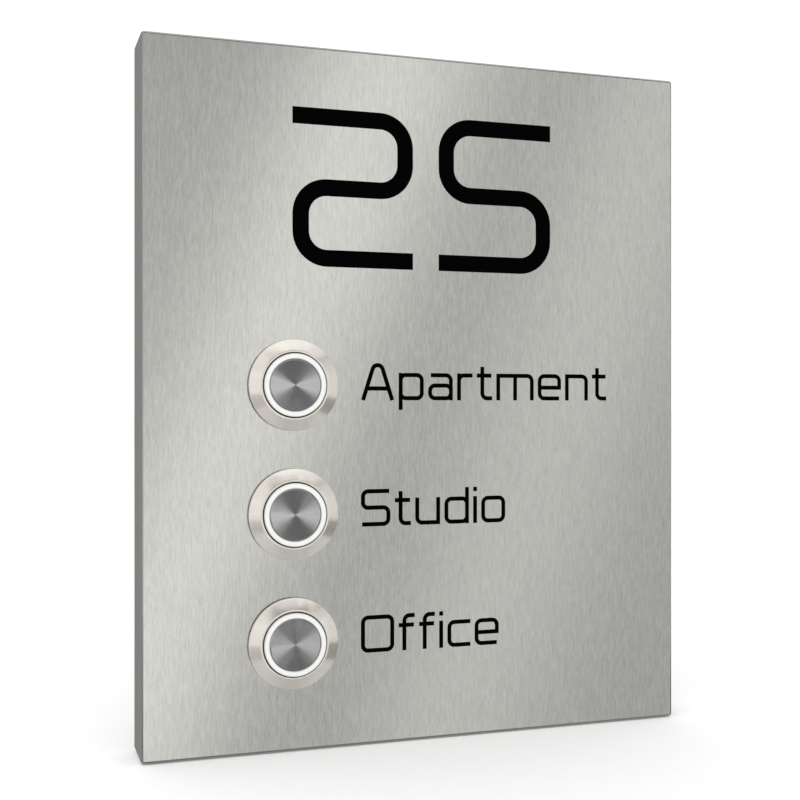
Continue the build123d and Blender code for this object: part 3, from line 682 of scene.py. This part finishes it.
class CALLPANEL_OT_light_rings(PanelStep, bpy.types.Operator):
    """Make the three lit diffuser rings"""

    bl_idname = "callpanel.light_rings"
    bl_label = "Light rings"

    def execute(self, context):
        for place in PLACES:
            centre = button_axis(place)
            lo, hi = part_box(f"light_ring_{place}")
            cap_r = radius_of(f"push_cap_{place}")
            inner = cap_r + FIT
            outer, collar, stem = inner + RING_WIDTH, radius_of(f"light_ring_{place}"), STEM_R + FIT
            # The section turned round the axis: a tube with a web inside, bored for the stem, and a collar behind.
            web_front, web_back, step = lo.y + 1.8 * MM, lo.y + 3.3 * MM, hi.y - 1.3 * MM
            outline = [
                (inner, lo.y), (outer, lo.y), (outer, step), (collar, step), (collar, hi.y), (inner, hi.y),
                (inner, web_back), (stem, web_back), (stem, web_front), (inner, web_front),
            ]
            profile = rounded(outline, self.sizes.edge_round, closed=True)
            ring = turned(f"ring_{place}", profile, centre, self.sizes.segments)
            finish = lit_diffuser(self.colours, centre, inner, outer, lo.y)
            dress(ring, finish, f"{place}_button", [f"light_ring_{place}"])
        return {"FINISHED"}


class CALLPANEL_OT_bezels(PanelStep, bpy.types.Operator):
    """Turn the three bezels, with the thread on their barrels"""

    bl_idname = "callpanel.bezels"
    bl_label = "Bezels"

    def execute(self, context):
        pitch, depth = self.sizes.thread_pitch, self.sizes.thread_depth
        for place in PLACES:
            centre = button_axis(place)
            lo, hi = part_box(f"bezel_{place}")
            flange = radius_of(f"bezel_{place}")
            barrel, bore, bore_rear = flange - BARREL_TO_RIM, flange - BORE_TO_RIM, flange - 2.7 * MM
            # The section turned round the axis: a flat land round the bore, a cone out to the rim, the barrel in
            # many short rows for its thread, and the wider rear of the bore.
            land, under, shoulder = 0.45 * MM, lo.y + 2.0 * MM, lo.y + 3.3 * MM
            start, end = under + 1.0 * MM, hi.y - 0.6 * MM
            rows = np.arange(start, end, pitch / 10)
            screw = np.stack([0 * rows + barrel, rows], axis=1)
            front = rounded(
                [(bore, shoulder), (bore, lo.y), (bore + land, lo.y), (flange, under - 0.8 * MM), (flange, under),
                 (barrel, under), (barrel, start)],
                self.sizes.edge_round,
            )
            rear = rounded(
                [(barrel, end), (barrel, hi.y - 0.3 * MM), (barrel - 0.3 * MM, hi.y), (bore_rear, hi.y),
                 (bore_rear, shoulder), (bore, shoulder)],
                0.05 * MM,
            )

            def thread(r, y, angle):
                """A triangular groove that advances one pitch a turn and runs out at both ends."""
                on = np.clip((y - start) / pitch, 0, 1) * np.clip((end - y) / pitch, 0, 1)
                phase = (y / pitch + angle / (2 * np.pi)) % 1.0
                groove = np.clip(1.25 - 2.5 * np.abs(phase - 0.5), 0, 1)
                outside = np.abs(r - barrel) < 1e-9
                return -depth * on * groove * outside

            profile = np.vstack([front, screw, rear])
            bezel = turned(f"bezel_ring_{place}", profile, centre, self.sizes.segments, thread)
            finish = turned_steel(
                f"Turned bezel {place}", centre, self.colours.bezel, rough=0.16, pitch=0.09 * MM, metallic=0.65,
                bore=bore
            )
            dress(bezel, finish, ROOT, [f"bezel_{place}"])
        return {"FINISHED"}


class CALLPANEL_OT_springs(PanelStep, bpy.types.Operator):
    """Wind the three return springs, with closed ends"""

    bl_idname = "callpanel.springs"
    bl_label = "Return springs"

    def execute(self, context):
        wire_steel = drawn_metal("Spring wire", (0.40, 0.40, 0.41), (0.62, 0.62, 0.63), 0.26)
        turns = self.sizes.turns
        for place in PLACES:
            centre = button_axis(place)
            lo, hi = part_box(f"return_spring_{place}")
            coil = radius_of(f"return_spring_{place}") - WIRE_R
            # A helix: the angle grows evenly along the wire, and the height stays level for the closed turn at each
            # end and climbs between them, a little faster at first and at last.
            angle = np.linspace(0, 2 * np.pi * turns, 44 * turns)
            share = angle / angle[-1]
            closed = 0.9 / turns
            rise = np.clip((share - closed) / (1 - 2 * closed), 0, 1)
            rise = rise + 0.06 * np.sin(2 * np.pi * rise) / (2 * np.pi)
            low, high = lo.y + WIRE_R, hi.y - WIRE_R
            path = np.stack(
                [centre[0] + coil * np.cos(angle), low + (high - low) * rise, centre[1] + coil * np.sin(angle)], axis=1
            )
            spring = tube(f"spring_{place}", path, WIRE_R, around=12)
            dress(spring, wire_steel, ROOT, [f"return_spring_{place}"])
            travel = next(j["range_m"][1] for j in frame["joints"] if j["name"] == f"{place}_press")
            length = hi.y - lo.y
            1 - travel / length
            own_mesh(spring)
        return {"FINISHED"}


class CALLPANEL_OT_switches(PanelStep, bpy.types.Operator):
    """Finish the nuts, seals, switch bases, blades, lamp boards, lamps, clips and bridges"""

    bl_idname = "callpanel.switches"
    bl_label = "Switch parts"

    def execute(self, context):
        finishes = {
            "hex_nut": drawn_metal("Nut plating", (0.58, 0.56, 0.52), (0.80, 0.78, 0.73), 0.2),
            "front_seal": cell_rubber(),
            "switch_base": moulded_black(),
            "terminals": tinned_brass(),
            "leds": phosphor(),
            "stem_clip": drawn_metal("Clip steel", (0.30, 0.30, 0.32), (0.5, 0.5, 0.52), 0.3),
            "contact_bridge": drawn_metal("Bridge alloy", (0.62, 0.55, 0.42), (0.82, 0.76, 0.62), 0.25),
        }
        for place in PLACES:
            for node, finish in finishes.items():
                dress(NODES[f"{node}_{place}"], finish)
            dress(NODES[f"led_board_{place}"], lamp_board(button_axis(place)))
        return {"FINISHED"}


# ---------------------------------------------------------------- stage
# The room that metal mirrors. Levels are shares of full white, and angles are degrees: turn is 0 straight in front of
# the panel and grows to its right, and rise is above eye level.
WALL, FLOOR, CEILING = 0.571, 0.52, 1.12
BESIDE, BEHIND, LEFT_OF_FRONT, FLOOR_IN_FRONT, CORNERS = 0.36, -0.31, 0.055, -0.15, 0.22    # added to those
# Light bands: turn at eye level, lean per degree of rise, half width to the left and to the right, gain.
BANDS = ((11.5, 0.42, 7.7, 7.7, 0.60), (25.6, 0.356, 5.8, 7.4, 0.30))
# Dark patches that the bezels mirror: turn from, to and softness, rise from and to, share taken away.
PATCHES = (
    (49.0, 86.0, 4.0, -27.0, -12.0, 1.0),
    (-54.0, -26.0, 4.0, -26.0, -11.0, 0.5),
    (44.0, 72.0, 3.0, 26.5, 29.0, 0.6),
)


def soft_light(name, turn, rise, distance, size, power):
    """A square area light aimed at the panel's middle from an azimuth and an elevation; metal doesn't mirror it."""
    data = bpy.data.lights.new(name, "AREA")
    data.size, data.energy = size, power
    light = bpy.data.objects.new(name, data)
    away = Vector((math.sin(turn) * math.cos(rise), -math.cos(turn) * math.cos(rise), math.sin(rise)))
    light.location = away * distance
    light.rotation_mode = "QUATERNION"
    light.rotation_quaternion = away.to_track_quat("Z", "Y")
    light.visible_camera = False
    light.visible_glossy = False
    bpy.context.scene.collection.objects.link(light)


class CALLPANEL_OT_stage(PanelStep, bpy.types.Operator):
    """Set the camera, the pale floor, the surroundings and the soft light"""

    bl_idname = "callpanel.stage"
    bl_label = "Stage"

    def execute(self, context):
        self.camera(context.scene.call_panel_stage)
        self.floor()
        self.surroundings()
        soft_light("Overhead", math.radians(-30), math.radians(50), 1.5, 1.2, 6.0)
        context.scene.view_settings.view_transform = "Standard"
        return {"FINISHED"}

    def camera(self, stage):
        back = Vector((math.sin(stage.turn), -math.cos(stage.turn), 0.0))
        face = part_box("front_cover")[0].y
        data = bpy.data.cameras.new("Camera")
        data.lens, data.sensor_width, data.shift_y = stage.lens, 36.0, stage.rise
        data.clip_start, data.clip_end = 0.01, 50.0
        camera = bpy.data.objects.new("Camera", data)
        camera.location = Vector((stage.aside, face, stage.height)) + back * stage.distance
        camera.rotation_mode = "QUATERNION"
        camera.rotation_quaternion = (-back).to_track_quat("-Z", "Y")
        bpy.context.scene.collection.objects.link(camera)
        bpy.context.scene.camera = camera

    def floor(self):
        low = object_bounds()[0].z - 0.0003
        half = 12.0
        mesh = bpy.data.meshes.new("Floor")
        corners = [(-half, -half, low), (half, -half, low), (half, half, low), (-half, half, low)]
        mesh.from_pydata(corners, [], [(0, 1, 2, 3)])
        floor = bpy.data.objects.new("Floor", mesh)
        paper = Recipe("Pale floor", Specular_IOR_Level=0.1)
        fibre = paper.noise(paper.scaled(300.0, 300.0, 300.0), detail=3.0)
        colour = paper.tint(fibre, (0.91, 0.91, 0.91), (0.94, 0.94, 0.94))
        mesh.materials.append(paper.finish(colour, 0.85 + fibre * 0.1, fibre, strength=0.02))
        bpy.context.scene.collection.objects.link(floor)
        floor.visible_glossy = False
        floor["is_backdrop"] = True

    def surroundings(self):
        """A white room. Metal mirrors a grey one instead, with light bands in front, lighter walls beside them, dark
        patches, a black belt above the bands, a grey floor and a light ceiling."""
        world = bpy.data.worlds.new("Studio")
        bpy.context.scene.world = world
        world.use_nodes = True
        room = Nodes(world.node_tree)
        room.tree.nodes.clear()
        room.place("Generated")
        turn = room.x.math("ARCTAN2", room.y * -1.0) * math.degrees(1)
        rise = room.z.math("ARCSINE") * math.degrees(1)
        beside = turn.between(44.0, 50.0, 8.0) + turn.between(50.0, 84.0, 6.0) * 0.35
        beside = (beside + turn.between(-60.0, -14.0, 10.0) * 0.9) * (1.0 - rise.absolute().step(9.0, 20.0))
        behind = turn.absolute().step(156.0, 171.0)
        level = WALL + beside * BESIDE + behind * BEHIND + turn.between(-2.0, 5.5, 4.5) * LEFT_OF_FRONT
        for at, lean, left, right, gain in BANDS:
            aside = turn - (rise * lean + at)
            aside = (aside / right).math("MAXIMUM", aside / -left)
            level = level + (1.0 - aside.step(0.0, 1.0)) * gain
        floor = (rise * -1.0).step(21.0, 30.0)
        level = level * (1.0 - floor) + floor * (FLOOR + turn.between(-4.0, 40.0, 14.0) * FLOOR_IN_FRONT)
        corners = turn.between(42.0, 80.0, 4.0) * rise.step(30.0, 34.0)
        corners = corners + turn.between(-60.0, -26.0, 6.0) * rise.step(8.0, 14.0)
        level = level + corners * CORNERS
        for start, end, soft, low, high, share in PATCHES:
            patch = turn.between(start, end, soft) * rise.between(low, high, 1.5)
            level = level * (1.0 - patch * share)
        belt = rise.step(18.0, 21.0) * (1.0 - rise.step(33.0, 37.0)) * turn.between(-14.0, 34.0, 7.0)
        ceiling = rise.step(42.0, 47.0)
        level = level * (1.0 - belt) * (1.0 - ceiling) + ceiling * CEILING
        path = room.add("ShaderNodeLightPath")
        mirrored = room.add("ShaderNodeBackground", inputs={"Color": (1.0, 0.998, 0.985), "Strength": level})
        white = room.add("ShaderNodeBackground", inputs={"Color": (1.0, 1.0, 1.0), "Strength": 1.085})
        glossy = path.outputs["Is Glossy Ray"]
        mix = room.add("ShaderNodeMixShader", inputs={0: glossy, 1: white.outputs[0], 2: mirrored.outputs[0]})
        room.add("ShaderNodeOutputWorld", inputs={0: mix.outputs[0]})


# ---------------------------------------------------------------- sidebar and registration
STEPS = (
    CALLPANEL_OT_stage,
    CALLPANEL_OT_cover,
    CALLPANEL_OT_lettering,
    CALLPANEL_OT_mounting,
    CALLPANEL_OT_caps,
    CALLPANEL_OT_light_rings,
    CALLPANEL_OT_bezels,
    CALLPANEL_OT_springs,
    CALLPANEL_OT_switches,
)


class CALLPANEL_PT_sidebar(bpy.types.Panel):
    """The steps and settings, in the 3D view's sidebar"""

    bl_idname = "CALLPANEL_PT_sidebar"
    bl_label = "Call panel"
    bl_space_type = "VIEW_3D"
    bl_region_type = "UI"
    bl_category = "Call panel"

    def draw(self, context):
        for step in STEPS:
            self.layout.operator(step.bl_idname)
        for group in ("call_panel_sizes", "call_panel_colours", "call_panel_stage"):
            settings = getattr(context.scene, group)
            box = self.layout.box()
            for name in settings.__annotations__:
                box.prop(settings, name)


GROUPS = {"call_panel_sizes": PanelSizes, "call_panel_colours": PanelColours, "call_panel_stage": StageSettings}


def register():
    for group in GROUPS.values():
        bpy.utils.register_class(group)
    for step in (*STEPS, CALLPANEL_PT_sidebar):
        bpy.utils.register_class(step)
    for name, group in GROUPS.items():
        setattr(bpy.types.Scene, name, PointerProperty(type=group))


def unregister():
    for name in GROUPS:
        delattr(bpy.types.Scene, name)
    for step in (CALLPANEL_PT_sidebar, *reversed(STEPS)):
        bpy.utils.unregister_class(step)
    for group in GROUPS.values():
        bpy.utils.unregister_class(group)


def main():
    register()
    for step in STEPS:
        family, name = step.bl_idname.split(".")
        getattr(getattr(bpy.ops, family), name)()


if __name__ == "__main__":
    main()
